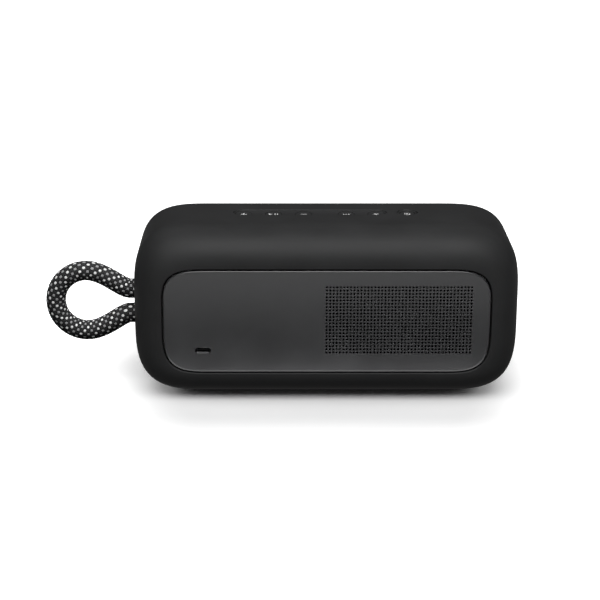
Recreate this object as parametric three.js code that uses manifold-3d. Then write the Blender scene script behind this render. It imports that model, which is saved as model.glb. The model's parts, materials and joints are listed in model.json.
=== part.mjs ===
// Portable water-resistant speaker with a rope carry loop, built as the parts it comes apart into.
// Millimetres, +Z up. X runs along the speaker, the grille faces -Y and the rear panel faces +Y.
// The origin is on the surface that the feet rest on, under the middle of the case.
import * as THREE from "three";
import { mergeVertices } from "three/addons/utils/BufferGeometryUtils.js";
import Module from "manifold-3d";

const wasm = await Module();
wasm.setup();

// ---------------------------------------------------------------- driving dimensions

const WIDTH = 227;
const HEIGHT = 101.6;
const DEPTH = 86;
const SKIN_LIFT = 0.8; // the skin's underside over the resting surface
const CORNER = 45; // reach of the body's corners, which are superelliptic
const CORNER_POWER = 3.4;
const CORNER_STEPS = 6;
const ROUND_STEPS = 4;
const FRONT_EDGE = { facing: -1, depth: 19.8, side: 6, top: 18, bottom: 14 };
const REAR_EDGE = { facing: 1, depth: 23.2, side: 17.4, top: 21.5, bottom: 16.6 };

const GAP = 0.3; // between pieces that touch
const SKIN = 2.4;
const CASE_WALL = 2.5;
const BOARD = 1.2;

const PANEL = { front: 40.6, rear: 43, gap: 0.7, bevel: 0.9 };
const GRILLE = { front: -43, rear: -42, gap: 0.5 };
const HOLE_FIELD = { x: -84, width: 84, z: 30.3, height: 40.2, rows: 10, slot: 1.6 };
const USB = { x: 72.3, z: 31.7, width: 8.94, height: 3.16, wall: 0.3, rear: 42.6, length: 7.3 };

const KEY_ROW = { y: -5.5, width: 11, left: -36.4, right: 54.8, top: 101.9 };
const KEYS = [
  { name: "volume_up_button", x: 48.9 },
  { name: "play_pause_button", x: 31 },
  { name: "volume_down_button", x: 13 },
  { name: "shortcut_button", x: -12.5 },
  { name: "pairing_button", x: -30.4 },
];
const KEY = { length: 9.6, width: 8, bottom: 100.5, top: 102.2, stem: 3, stemBottom: 96, travel: 0.6 };
const POWER = { x: -49, radius: 4.4, ring: 5.8 };
const FOOT = { x: 66, y: -2, length: 16, width: 34, height: 1.9 };

const ROPE = { diameter: 12, spacing: 15.6, z: 48.6, axisX: 118.6 };

const WOOFER = { x: 48, z: 49.6, cone: 24.5, surround: 29, flange: 33, basket: 27 };
const TWEETER = { x: 0, z: 62, dome: 9, housing: 14 };
const FRONT_RADIATOR = { x: -57, z: 49.6, length: 74, height: 50, y: -31.3 };
const REAR_RADIATOR = { x: -42, z: 50.4, length: 72, height: 36, y: 35.2 };

const BAFFLE = { front: -31, rear: -28.5 };
const REAR_WALL = { front: 36, rear: 38.5 };
const SEAM = 0.4; // the two case halves part on the plane y = 0, half of the seam each side
const POST = { x: 80, z: 26, radius: 4.2, bore: 1.5 };

// ---------------------------------------------------------------- derived sizes

const MIDDLE_Z = SKIN_LIFT + HEIGHT / 2;
const TOP_Z = SKIN_LIFT + HEIGHT;
const CASE_OUTER = SKIN + GAP;
const CASE_INNER = CASE_OUTER + CASE_WALL;
const ROPE_RADIUS = ROPE.diameter / 2;
const ROPE_ZS = { upper: ROPE.z + ROPE.spacing / 2, lower: ROPE.z - ROPE.spacing / 2 };

// The carry loop's centreline, from its upper end round to its lower end.
const LOOP_HALF = [
  [118.6, 7.8],
  [121.6, 8.9],
  [126.2, 11.6],
  [131.1, 14.6],
  [136.2, 17.1],
  [141.3, 18.6],
  [146.4, 18.7],
  [151, 17.5],
  [155, 15.3],
  [158.3, 12.3],
  [160.8, 8.6],
  [162.3, 4.4],
];
const LOOP_TIP = [162.8, 0];

// ---------------------------------------------------------------- materials

function finish(color, roughness, metalness = 0) {
  return new THREE.MeshStandardMaterial({ color, roughness, metalness });
}

const SILICONE = finish(0x26272a, 0.75);
const PANEL_PLASTIC = finish(0x3a3b3e, 0.6);
const CASE_PLASTIC = finish(0x1d1e20, 0.7);
const KEY_RUBBER = finish(0x2c2d30, 0.7);
const COATED_STEEL = finish(0x1f2022, 0.5, 0.4);
const CLOTH = finish(0x111214, 0.95);
const GASKET_RUBBER = finish(0x151515, 0.9);
const STEEL = finish(0xa9abad, 0.35, 1);
const FERRITE = finish(0x33322f, 0.6, 0.2);
const CIRCUIT = finish(0x1c4a30, 0.5);
const CONE_PAPER = finish(0x1b1b1c, 0.8);
const CELL_WRAP = finish(0x2b6ea8, 0.4);
const BRAID = finish(0x17181a, 0.9);

// ---------------------------------------------------------------- solids

// A closed geometry as a solid: position alone, vertices merged, no collapsed faces.
function solid(geometry) {
  const bare = geometry.index ? geometry.toNonIndexed() : geometry.clone();
  const positions = new THREE.BufferGeometry();
  positions.setAttribute("position", bare.getAttribute("position"));
  const merged = mergeVertices(positions, 1e-3);
  const corners = merged.index.array;
  const faces = [];
  for (let i = 0; i < corners.length; i += 3) {
    const [a, b, c] = [corners[i], corners[i + 1], corners[i + 2]];
    if (a !== b && b !== c && c !== a) faces.push(a, b, c);
  }
  const vertProperties = new Float32Array(merged.getAttribute("position").array);
  const triVerts = new Uint32Array(faces);
  return new wasm.Manifold(new wasm.Mesh({ numProp: 3, vertProperties, triVerts }));
}

function joined(...pieces) {
  return pieces.reduce((sum, piece) => sum.add(piece));
}

function cut(body, ...tools) {
  return tools.reduce((rest, tool) => rest.subtract(tool), body);
}

function part(name, piece, material) {
  const made = piece.getMesh();
  const geometry = new THREE.BufferGeometry();
  geometry.setAttribute("position", new THREE.BufferAttribute(made.vertProperties, 3));
  geometry.setIndex(new THREE.BufferAttribute(made.triVerts, 1));
  geometry.computeVertexNormals();
  const mesh = new THREE.Mesh(geometry, material);
  mesh.name = name;
  return mesh;
}

function box(x0, x1, y0, y1, z0, z1) {
  const geometry = new THREE.BoxGeometry(x1 - x0, y1 - y0, z1 - z0);
  return solid(geometry.translate((x0 + x1) / 2, (y0 + y1) / 2, (z0 + z1) / 2));
}

// A round bar along one of the axes, from one end to the other.
function rod(axis, radius, from, to, at, sides = 16) {
  const geometry = new THREE.CylinderGeometry(radius, radius, to - from, sides);
  if (axis === "x") geometry.rotateZ(-Math.PI / 2);
  if (axis === "z") geometry.rotateX(Math.PI / 2);
  const middle = { x: 0, y: 0, z: 0, ...at, [axis]: (from + to) / 2 };
  return solid(geometry.translate(middle.x, middle.y, middle.z));
}

// A profile of [radius, y] points, turned about a line along Y.
function turned(profile, centre, sides = 24) {
  const points = profile.map(([radius, y]) => new THREE.Vector2(radius, y));
  const upright = THREE.ShapeUtils.isClockWise(points) ? points.reverse() : points;
  const closed = upright[0].x === 0 ? upright : [...upright, upright[0]];
  const geometry = new THREE.LatheGeometry(closed, sides);
  return solid(geometry.translate(centre.x, 0, centre.z));
}

// A flat shape given in X and Z, from y0 to y1.
function upright(shape, y0, y1) {
  const geometry = new THREE.ExtrudeGeometry(shape, { depth: y1 - y0, bevelEnabled: false });
  geometry.rotateX(Math.PI / 2);
  return solid(geometry.translate(0, y1, 0));
}

// A flat shape given in X and Y, from z0 to z1.
function level(shape, z0, z1) {
  const geometry = new THREE.ExtrudeGeometry(shape, { depth: z1 - z0, bevelEnabled: false });
  return solid(geometry.translate(0, 0, z0));
}

// A box outline with rounded corners: a stadium where the radius is half the height.
function roundedRectangle(centreU, centreV, width, height, radius, steps = 5) {
  const points = [];
  const corners = [[1, 1], [-1, 1], [-1, -1], [1, -1]];
  corners.forEach(([su, sv], quarter) => {
    const u = centreU + su * (width / 2 - radius);
    const v = centreV + sv * (height / 2 - radius);
    for (let i = 0; i <= steps; i += 1) {
      const angle = (quarter + i / steps) * (Math.PI / 2);
      points.push(new THREE.Vector2(u + radius * Math.cos(angle), v + radius * Math.sin(angle)));
    }
  });
  return new THREE.Shape(points);
}

// ---------------------------------------------------------------- the body's form

// The body's outline in X and Z, pulled in by its own amount at the sides, the top and the bottom.
function bodyOutline({ side, top, bottom }) {
  const points = [];
  for (let quarter = 0; quarter < 4; quarter += 1) {
    const signX = quarter === 0 || quarter === 3 ? 1 : -1;
    const signZ = quarter < 2 ? 1 : -1;
    const inset = signZ > 0 ? top : bottom;
    const reachX = CORNER - side;
    const reachZ = CORNER - inset;
    for (let i = 0; i <= CORNER_STEPS; i += 1) {
      const step = quarter % 2 === 0 ? i : CORNER_STEPS - i;
      const angle = (step / CORNER_STEPS) * (Math.PI / 2);
      const along = Math.cos(angle) ** (2 / CORNER_POWER);
      const up = Math.sin(angle) ** (2 / CORNER_POWER);
      const x = signX * (WIDTH / 2 - side - reachX * (1 - along));
      const z = MIDDLE_Z + signZ * (HEIGHT / 2 - inset - reachZ * (1 - up));
      points.push([x, z]);
    }
  }
  return points;
}

// One ring of a surface that lies a fixed depth under the body's outside.
function bodyRing(edge, angle, under) {
  const y = edge.facing * (DEPTH / 2 - edge.depth + (edge.depth - under) * Math.sin(angle));
  const share = 1 - Math.cos(angle);
  const inset = (reach) => under + (reach - under) * share;
  const insets = { side: inset(edge.side), top: inset(edge.top), bottom: inset(edge.bottom) };
  return bodyOutline(insets).map(([x, z]) => [x, y, z]);
}

function edgeRings(edge, under) {
  const rings = [];
  for (let i = 0; i <= ROUND_STEPS; i += 1) {
    rings.push(bodyRing(edge, (i / ROUND_STEPS) * (Math.PI / 2), under));
  }
  return rings;
}

function flatRing(y, under) {
  return bodyOutline({ side: under, top: under, bottom: under }).map(([x, z]) => [x, y, z]);
}

// Rings joined into a tube whose last ring meets its first.
function ringTube(rings) {
  const count = rings[0].length;
  const positions = rings.flat(2);
  const faces = [];
  rings.forEach((ring, r) => {
    const next = (r + 1) % rings.length;
    for (let i = 0; i < count; i += 1) {
      const j = (i + 1) % count;
      const [a, b, c, d] = [r * count + i, r * count + j, next * count + j, next * count + i];
      faces.push(a, d, b, b, d, c);
    }
  });
  const geometry = new THREE.BufferGeometry();
  geometry.setAttribute("position", new THREE.Float32BufferAttribute(positions, 3));
  geometry.setIndex(faces);
  return solid(geometry);
}

// The outline of the hole that an edge leaves in the skin, pulled in by a margin.
function openingShape(edge, margin) {
  const insets = { side: edge.side + margin, top: edge.top + margin, bottom: edge.bottom + margin };
  return new THREE.Shape(bodyOutline(insets).map(([x, z]) => new THREE.Vector2(x, z)));
}

// The outline of a wall across the inside of the case at a given depth.
function wallShape(y, under) {
  const edge = y < 0 ? FRONT_EDGE : REAR_EDGE;
  const start = DEPTH / 2 - edge.depth;
  const sine = Math.max(0, Math.abs(y) - start) / (edge.depth - under);
  const ring = bodyRing(edge, Math.asin(sine), under);
  return new THREE.Shape(ring.map(([x, , z]) => new THREE.Vector2(x, z)));
}

// ---------------------------------------------------------------- shared cutters

function keyHoles(margin) {
  const x = (KEY_ROW.left + KEY_ROW.right) / 2;
  const length = KEY_ROW.right - KEY_ROW.left + 2 * margin;
  const width = KEY_ROW.width + 2 * margin;
  const row = level(roundedRectangle(x, KEY_ROW.y, length, width, width / 2), TOP_Z - 6, TOP_Z + 6);
  const power = rod("z", POWER.ring + margin, TOP_Z - 6, TOP_Z + 6, { x: POWER.x, y: KEY_ROW.y });
  return [row, power];
}

function stemHoles(half) {
  return [...KEYS, POWER].map(({ x }) =>
    box(x - half, x + half, KEY_ROW.y - half, KEY_ROW.y + half, TOP_Z - 12, TOP_Z + 6),
  );
}

function ropeHoles(margin, from, to) {
  return Object.values(ROPE_ZS).map((z) => rod("x", ROPE_RADIUS + margin, from, to, { z }));
}

function postPlaces() {
  return [[1, 1], [-1, 1], [-1, -1], [1, -1]].map(([sx, sz]) => ({
    x: sx * POST.x,
    z: MIDDLE_Z + sz * POST.z,
  }));
}

// ---------------------------------------------------------------- skin, case and feet

function footShape(side, margin) {
  const length = FOOT.length + 2 * margin;
  return roundedRectangle(side * FOOT.x, FOOT.y, length, FOOT.width + 2 * margin, length / 2 - 0.01, 4);
}

function skinAndFeet() {
  const outer = [...edgeRings(FRONT_EDGE, 0).reverse(), ...edgeRings(REAR_EDGE, 0)];
  const inner = [...edgeRings(FRONT_EDGE, SKIN).reverse(), ...edgeRings(REAR_EDGE, SKIN)];
  const pockets = [-1, 1].map((side) => level(footShape(side, GAP), -1, FOOT.height + GAP));
  const holes = [...keyHoles(GAP), ...ropeHoles(GAP, 100, 130), ...pockets];
  const skin = cut(ringTube([...outer, ...inner.reverse()]), ...holes);
  return [
    part("skin_sleeve", skin, SILICONE),
    part("foot_left", level(footShape(-1, 0), 0, FOOT.height), GASKET_RUBBER),
    part("foot_right", level(footShape(1, 0), 0, FOOT.height), GASKET_RUBBER),
  ];
}

function caseShell(edge, seamY) {
  const outer = [flatRing(seamY, CASE_OUTER), ...edgeRings(edge, CASE_OUTER)];
  const inner = [flatRing(seamY, CASE_INNER), ...edgeRings(edge, CASE_INNER)];
  const rings = [...outer, ...inner.reverse()];
  return ringTube(edge.facing > 0 ? rings : rings.reverse());
}

function frontCase() {
  const shell = caseShell(FRONT_EDGE, -SEAM / 2);
  const wall = upright(wallShape(BAFFLE.front, CASE_OUTER + 0.5), BAFFLE.front, BAFFLE.rear);
  const postEnd = REAR_WALL.front - GAP;
  const posts = postPlaces().map((at) => rod("y", POST.radius, BAFFLE.rear - 1, postEnd, at, 10));
  const pilots = postPlaces().map((at) => rod("y", POST.bore, 20, REAR_WALL.front, at, 8));
  const openings = [
    rod("y", WOOFER.basket + 0.8, -40, -20, WOOFER, 24),
    rod("y", TWEETER.housing - 2.5, -40, -20, TWEETER),
    upright(radiatorShape(FRONT_RADIATOR, -3), -40, -20),
    ...wooferScrewPlaces().map((at) => rod("y", 1.5, -40, -20, at, 8)),
  ];
  const body = cut(joined(shell, wall, ...posts), ...pilots, ...openings);
  return cut(body, ...stemHoles(2), ...ropeHoles(GAP, 95, 130));
}

function rearCase() {
  const shell = caseShell(REAR_EDGE, SEAM / 2);
  const wall = upright(wallShape(REAR_WALL.rear, CASE_OUTER + 0.5), REAR_WALL.front, REAR_WALL.rear);
  const openings = [
    upright(radiatorShape(REAR_RADIATOR, -3), 30, 45),
    upright(roundedRectangle(USB.x, USB.z, 16, 10, 3, 3), 30, 45),
    ...postPlaces().map((at) => rod("y", 1.8, 30, 45, at, 8)),
  ];
  return cut(joined(shell, wall), ...openings, ...stemHoles(2), ...ropeHoles(GAP, 95, 130));
}

function caseParts() {
  return [part("front_case", frontCase(), CASE_PLASTIC), part("rear_case", rearCase(), CASE_PLASTIC)];
}

// ---------------------------------------------------------------- grille and rear panel

function slots(left, right, low, height, rows, y0, y1) {
  const pitch = height / rows;
  return Array.from({ length: rows }, (_, row) => {
    const z = low + (row + 0.5) * pitch;
    return box(left, right, y0, y1, z - HOLE_FIELD.slot / 2, z + HOLE_FIELD.slot / 2);
  });
}

function grilleParts() {
  const rows = 12;
  const openings = [-1, 1].flatMap((side) => {
    const [left, right] = side < 0 ? [-98, -2] : [2, 98];
    return slots(left, right, 22, 56, rows, -50, -40);
  });
  const plate = cut(upright(openingShape(FRONT_EDGE, GRILLE.gap), GRILLE.front, GRILLE.rear), ...openings);
  const cloth = upright(openingShape(FRONT_EDGE, 1.2), GRILLE.rear + GAP, GRILLE.rear + 0.9);
  const frameBack = GRILLE.rear + 4;
  const frameHole = upright(openingShape(FRONT_EDGE, 5), -50, -30);
  const frame = cut(upright(openingShape(FRONT_EDGE, 0.8), GRILLE.rear + 1.2, frameBack), frameHole);
  return [
    part("front_grille", plate, COATED_STEEL),
    part("grille_cloth", cloth, CLOTH),
    part("grille_frame", frame, CASE_PLASTIC),
  ];
}

function rearPanel() {
  const back = upright(openingShape(REAR_EDGE, PANEL.gap), PANEL.front, PANEL.rear - PANEL.bevel);
  const face = upright(openingShape(REAR_EDGE, PANEL.gap + PANEL.bevel), PANEL.front, PANEL.rear);
  const { x, width, z, height, rows } = HOLE_FIELD;
  const field = slots(x, x + width, z, height, rows, 35, 50);
  const port = upright(usbShape(GAP), 35, 50);
  return cut(joined(back, face), ...field, port);
}

function panelParts() {
  const clothShape = roundedRectangle(REAR_RADIATOR.x, REAR_RADIATOR.z, 88, 44, 4, 3);
  return [
    part("rear_panel", rearPanel(), PANEL_PLASTIC),
    part("rear_cloth", upright(clothShape, PANEL.front - 0.9, PANEL.front - GAP), CLOTH),
  ];
}

// ---------------------------------------------------------------- charging port

function usbShape(margin) {
  const height = USB.height + 2 * margin;
  return roundedRectangle(USB.x, USB.z, USB.width + 2 * margin, height, height / 2, 5);
}

function portParts() {
  const front = USB.rear - USB.length;
  const bore = upright(usbShape(-USB.wall), front - 1, USB.rear + 1);
  const shell = cut(upright(usbShape(0), front, USB.rear), bore);
  const tongue = box(USB.x - 3.3, USB.x + 3.3, front, USB.rear - 1.2, USB.z - 0.35, USB.z + 0.35);
  const plug = box(USB.x - 2.6, USB.x + 2.6, front, front + 1.8, USB.z - 0.95, USB.z + 0.95);
  const seal = cut(
    upright(roundedRectangle(USB.x, USB.z, 14, 8, 3, 4), REAR_WALL.rear - 1.6, PANEL.front - GAP),
    upright(usbShape(GAP), 30, 50),
  );
  const board = box(USB.x - 8, USB.x + 8, front - GAP - BOARD, front - GAP, USB.z - 1.8, USB.z + 8.2);
  return [
    part("usb_c_shell", shell, STEEL),
    part("usb_c_tongue", joined(tongue, plug), CASE_PLASTIC),
    part("port_seal", seal, GASKET_RUBBER),
    part("port_board", board, CIRCUIT),
  ];
}

// ---------------------------------------------------------------- keys

function keyCap(x) {
  const cap = level(roundedRectangle(x, KEY_ROW.y, KEY.length, KEY.width, 3.6, 3), KEY.bottom, KEY.top);
  const half = KEY.stem / 2;
  const stem = box(x - half, x + half, KEY_ROW.y - half, KEY_ROW.y + half, KEY.stemBottom, KEY.bottom + 0.1);
  return joined(cap, stem);
}

function powerCap() {
  const cap = rod("z", POWER.radius, KEY.bottom, KEY.top, { x: POWER.x, y: KEY_ROW.y }, 24);
  const half = KEY.stem / 2;
  const [x, y] = [POWER.x, KEY_ROW.y];
  return joined(cap, box(x - half, x + half, y - half, y + half, KEY.stemBottom, KEY.bottom + 0.1));
}

function keyFrames() {
  const x = (KEY_ROW.left + KEY_ROW.right) / 2;
  const length = KEY_ROW.right - KEY_ROW.left;
  const bottom = TOP_Z - CASE_OUTER + GAP;
  const outline = roundedRectangle(x, KEY_ROW.y, length, KEY_ROW.width, KEY_ROW.width / 2);
  const pill = level(outline, bottom, KEY_ROW.top);
  const windows = KEYS.map((key) => {
    const shape = roundedRectangle(key.x, KEY_ROW.y, KEY.length + 2 * GAP, KEY.width + 2 * GAP, 3.9, 3);
    return level(shape, bottom - 1, TOP_Z + 2);
  });
  const at = { x: POWER.x, y: KEY_ROW.y };
  const ring = cut(
    rod("z", POWER.ring, bottom, KEY_ROW.top, at, 28),
    rod("z", POWER.radius + GAP, bottom - 1, TOP_Z + 2, at, 24),
  );
  const strip = cut(pill, ...windows);
  return [part("button_strip", strip, KEY_RUBBER), part("power_button_ring", ring, KEY_RUBBER)];
}

function keyBoard() {
  const top = KEY.stemBottom - KEY.travel - 2.9;
  const base = box(POWER.x - 6, KEY_ROW.right + 2, KEY_ROW.y - 6, KEY_ROW.y + 5, top - BOARD, top);
  const switches = [...KEYS, POWER].map(({ x }) => {
    const body = box(x - 2.6, x + 2.6, KEY_ROW.y - 2.6, KEY_ROW.y + 2.6, top - 0.1, top + 1.6);
    const plunger = rod("z", 1.2, top + 1.5, top + 2.8, { x, y: KEY_ROW.y }, 10);
    return joined(body, plunger);
  });
  return joined(base, ...switches);
}

function keyParts() {
  const caps = KEYS.map(({ name, x }) => part(name, keyCap(x), KEY_RUBBER));
  return [
    ...keyFrames(),
    ...caps,
    part("power_button", powerCap(), KEY_RUBBER),
    part("button_board", keyBoard(), CIRCUIT),
  ];
}

// ---------------------------------------------------------------- loudspeakers

function wooferScrewPlaces() {
  return [0, 1, 2, 3].map((quarter) => {
    const angle = Math.PI / 4 + (quarter * Math.PI) / 2;
    const radius = WOOFER.flange - 2.1;
    return { x: WOOFER.x + radius * Math.cos(angle), z: WOOFER.z + radius * Math.sin(angle) };
  });
}

function wooferParts() {
  const flangeBack = BAFFLE.front - GAP;
  const flangeFront = flangeBack - 2.2;
  const { cone, surround, flange, basket } = WOOFER;
  const frame = turned([
    [surround + GAP, flangeFront], [flange, flangeFront], [flange, flangeBack], [basket, flangeBack],
    [basket, -22], [basket - 0.5, -14.4], [8, -14.4], [8, -16], [basket - 3, -16], [basket - 1.6, -24],
    [basket - 1.6, flangeBack - 0.6], [surround + GAP, flangeBack - 0.6],
  ], WOOFER);
  const coilGap = cut(frame, rod("y", 12.2, -18, -10, WOOFER, 24));
  const screwHoles = wooferScrewPlaces().map((at) => rod("y", 1.5, -40, -20, at, 8));
  const magnet = turned([
    [0, -14], [9.2, -14], [9.2, -5], [11.6, -5], [11.6, -14], [25, -14], [25, -3], [0, -3],
  ], WOOFER);
  const roll = turned([
    [cone + GAP, -33.2], [cone + 1.2, -34.8], [cone + 2.5, -35.4], [surround - 0.8, -34.8], [surround, -33.2],
    [surround, -32.4], [surround - 1.4, -33.6], [cone + 2.3, -34.4], [cone + 1.3, -33.4], [cone + GAP, -32.4],
  ], WOOFER);
  const driver = turned([
    [0, -29.6], [5.5, -28.6], [9.6, -26], [cone, -33.2], [cone, -32.2], [11.2, -24.2], [10.7, -23],
    [10.7, -11.5], [10.1, -11.5], [10.1, -24.2], [5.2, -27.6], [0, -28.6],
  ], WOOFER);
  const screws = wooferScrewPlaces().map((at, i) => {
    const screw = joined(
      rod("y", 2.2, flangeFront - GAP - 1.3, flangeFront - GAP, at, 10),
      rod("y", 1.2, flangeFront - GAP - 0.1, BAFFLE.rear + 2, at, 6),
    );
    return part(`woofer_screw_${i + 1}`, screw, STEEL);
  });
  return [
    part("woofer_frame", cut(coilGap, ...screwHoles), CASE_PLASTIC),
    part("woofer_magnet", magnet, FERRITE),
    part("woofer_surround", roll, GASKET_RUBBER),
    part("woofer_cone", driver, CONE_PAPER),
    ...screws,
  ];
}

function tweeterParts() {
  const { dome, housing } = TWEETER;
  const back = BAFFLE.front - GAP;
  const shell = turned([
    [dome + GAP, back - 2.4], [housing, back - 2.4], [housing, back], [housing - 3, back], [housing - 3, -20],
    [0, -20], [0, -22], [housing - 5, -22], [housing - 5, back - 0.8], [dome + GAP, back - 0.8],
  ].reverse(), TWEETER, 18);
  const cap = turned([
    [0, -36.4], [4.6, -35.6], [7.6, -34.2], [dome, -32.6], [dome - 0.7, -32.2], [7, -33.6],
    [4.2, -34.9], [0, -35.6],
  ], TWEETER, 18);
  return [part("tweeter_housing", shell, CASE_PLASTIC), part("tweeter_dome", cap, CLOTH)];
}

function radiatorShape(radiator, margin) {
  const height = radiator.height + 2 * margin;
  const length = radiator.length + 2 * margin;
  return roundedRectangle(radiator.x, radiator.z, length, height, height / 2 - 0.01, 5);
}

// A passive bass radiator, whose frame stands on a wall's -Y face.
function radiatorParts(prefix, radiator) {
  const back = radiator.y;
  const band = (outer, inner, y0, y1) => {
    const hole = upright(radiatorShape(radiator, inner), y0 - 1, y1 + 1);
    return cut(upright(radiatorShape(radiator, outer), y0, y1), hole);
  };
  const plate = upright(radiatorShape(radiator, -10.3), back - 1.8, back + 2);
  return [
    part(`${prefix}_frame`, band(0, -4, back - 2.4, back), CASE_PLASTIC),
    part(`${prefix}_surround`, band(-4.3, -10, back - 1.4, back - 0.6), GASKET_RUBBER),
    part(`${prefix}_weight`, plate, STEEL),
  ];
}

// ---------------------------------------------------------------- electronics and battery

function electronics() {
  const mainTop = 14;
  const main = joined(
    box(-92, -6, -20, 20, mainTop - BOARD, mainTop),
    box(-76, -58, -8, 10, mainTop - 0.1, mainTop + 2.2),
    box(-48, -36, -6, 6, mainTop - 0.1, mainTop + 1.6),
    box(-26, -12, -14, -2, mainTop - 0.1, mainTop + 4.5),
    rod("z", 4, mainTop - 0.1, mainTop + 9, { x: -16, y: 10 }, 14),
  );
  const antenna = box(-60, -20, 8, 8 + BOARD, 82, 92);
  const cells = [26, 48].map((z) => rod("x", 10.5, 3, 73, { y: 22, z }, 20));
  const link = box(5, 71, 18, 26, 30, 44);
  const battery = joined(...cells, link);
  const cradleWall = box(-0.8, 75.2, 9, 32.5, 12.5, 24);
  const cradle = cut(cradleWall, box(2.5, 73.5, 8, 36, 15.2, 40));
  return [
    part("main_board", main, CIRCUIT),
    part("antenna_board", antenna, CIRCUIT),
    part("battery_pack", battery, CELL_WRAP),
    part("battery_cradle", cradle, CASE_PLASTIC),
  ];
}

function caseScrews() {
  return postPlaces().map((at, i) => {
    const headBack = REAR_WALL.rear + GAP;
    const screw = joined(
      rod("y", 2.7, headBack, headBack + 1.2, at, 10),
      rod("y", 1.2, 24, headBack + 0.1, at, 6),
    );
    return part(`case_screw_${i + 1}`, screw, STEEL);
  });
}

// ---------------------------------------------------------------- carry loop

function loopPath() {
  const upper = LOOP_HALF.map(([x, z]) => new THREE.Vector3(x, 0, ROPE.z + z));
  const tip = new THREE.Vector3(LOOP_TIP[0], 0, ROPE.z);
  const lower = LOOP_HALF.map(([x, z]) => new THREE.Vector3(x, 0, ROPE.z - z)).reverse();
  return new THREE.CatmullRomCurve3([...upper, tip, ...lower]);
}

function ropeSection(sides) {
  const points = Array.from({ length: sides }, (_, i) => {
    const angle = (i / sides) * 2 * Math.PI;
    return new THREE.Vector2(ROPE_RADIUS * Math.cos(angle), ROPE_RADIUS * Math.sin(angle));
  });
  return new THREE.Shape(points);
}

function ropeParts() {
  const sweep = { steps: 36, extrudePath: loopPath(), bevelEnabled: false };
  const tube = solid(new THREE.ExtrudeGeometry(ropeSection(8), sweep));
  const ends = Object.values(ROPE_ZS).map((z) => {
    const ball = new THREE.SphereGeometry(ROPE_RADIUS, 8, 6);
    return solid(ball.translate(ROPE.axisX, 0, z));
  });
  const stubEnd = ROPE.axisX - ROPE_RADIUS - GAP;
  const stubs = Object.entries(ROPE_ZS).flatMap(([side, z]) => {
    const stub = rod("x", ROPE_RADIUS, 94, stubEnd, { z }, 12);
    const sleeve = rod("x", 7.4, 98, 104, { z }, 12);
    const crimp = cut(sleeve, rod("x", ROPE_RADIUS + GAP, 90, 110, { z }, 12));
    return [part(`rope_end_${side}`, stub, BRAID), part(`rope_crimp_${side}`, crimp, STEEL)];
  });
  return [part("carry_loop", joined(tube, ...ends), BRAID), ...stubs];
}

// ---------------------------------------------------------------- the whole speaker

const speaker = new THREE.Group();
speaker.add(
  ...skinAndFeet(),
  ...caseParts(),
  ...grilleParts(),
  ...panelParts(),
  ...portParts(),
  ...keyParts(),
  ...wooferParts(),
  ...tweeterParts(),
  ...radiatorParts("front_radiator", FRONT_RADIATOR),
  ...radiatorParts("rear_radiator", REAR_RADIATOR),
  ...electronics(),
  ...caseScrews(),
  ...ropeParts(),
);

export default speaker;
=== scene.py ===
"""The look of a portable speaker with a rope carry loop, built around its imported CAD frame.

Metres, +Z up, in the frame's own axes: +X is the end with the loop, -Y the grille, +Y the rear panel.
"""

import json
import math

import bmesh
import bpy
import numpy as np
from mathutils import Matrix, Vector
from mathutils.geometry import tessellate_polygon

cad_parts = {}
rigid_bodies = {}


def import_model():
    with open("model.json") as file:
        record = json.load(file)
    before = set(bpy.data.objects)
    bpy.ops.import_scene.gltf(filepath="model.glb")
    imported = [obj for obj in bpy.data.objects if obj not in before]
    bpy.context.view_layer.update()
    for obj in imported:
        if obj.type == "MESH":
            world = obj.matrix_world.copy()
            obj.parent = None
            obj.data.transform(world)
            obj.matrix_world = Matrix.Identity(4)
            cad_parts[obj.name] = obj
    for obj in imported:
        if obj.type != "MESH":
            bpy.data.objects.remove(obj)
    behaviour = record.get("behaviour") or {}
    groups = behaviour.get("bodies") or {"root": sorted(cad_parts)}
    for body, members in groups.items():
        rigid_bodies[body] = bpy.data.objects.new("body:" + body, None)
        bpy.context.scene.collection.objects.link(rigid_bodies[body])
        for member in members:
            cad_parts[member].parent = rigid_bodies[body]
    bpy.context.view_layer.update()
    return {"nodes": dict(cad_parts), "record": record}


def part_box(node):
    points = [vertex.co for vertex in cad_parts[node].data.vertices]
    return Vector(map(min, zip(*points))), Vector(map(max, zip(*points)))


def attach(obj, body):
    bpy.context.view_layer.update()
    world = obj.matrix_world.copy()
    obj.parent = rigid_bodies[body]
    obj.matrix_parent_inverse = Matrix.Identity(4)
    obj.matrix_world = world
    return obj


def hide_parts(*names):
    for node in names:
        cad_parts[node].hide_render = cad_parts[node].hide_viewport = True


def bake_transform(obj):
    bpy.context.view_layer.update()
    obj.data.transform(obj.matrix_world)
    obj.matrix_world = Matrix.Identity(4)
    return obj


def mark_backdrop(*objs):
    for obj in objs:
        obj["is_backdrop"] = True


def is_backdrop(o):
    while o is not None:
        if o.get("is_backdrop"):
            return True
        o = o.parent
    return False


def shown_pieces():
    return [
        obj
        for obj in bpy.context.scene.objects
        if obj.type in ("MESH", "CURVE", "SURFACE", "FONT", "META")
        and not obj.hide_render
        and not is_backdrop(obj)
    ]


for leftover in list(bpy.data.objects):
    bpy.data.objects.remove(leftover)

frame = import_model()

MM = 0.001

# ------------ sizes shared by several pieces

SKIN_LOW, SKIN_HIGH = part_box("skin_sleeve")
WIDTH = SKIN_HIGH.x - SKIN_LOW.x
HEIGHT = SKIN_HIGH.z - SKIN_LOW.z
HALF_DEPTH = SKIN_HIGH.y
MIDDLE_Z = (SKIN_HIGH.z + SKIN_LOW.z) / 2
TOP_Z = SKIN_HIGH.z

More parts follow.
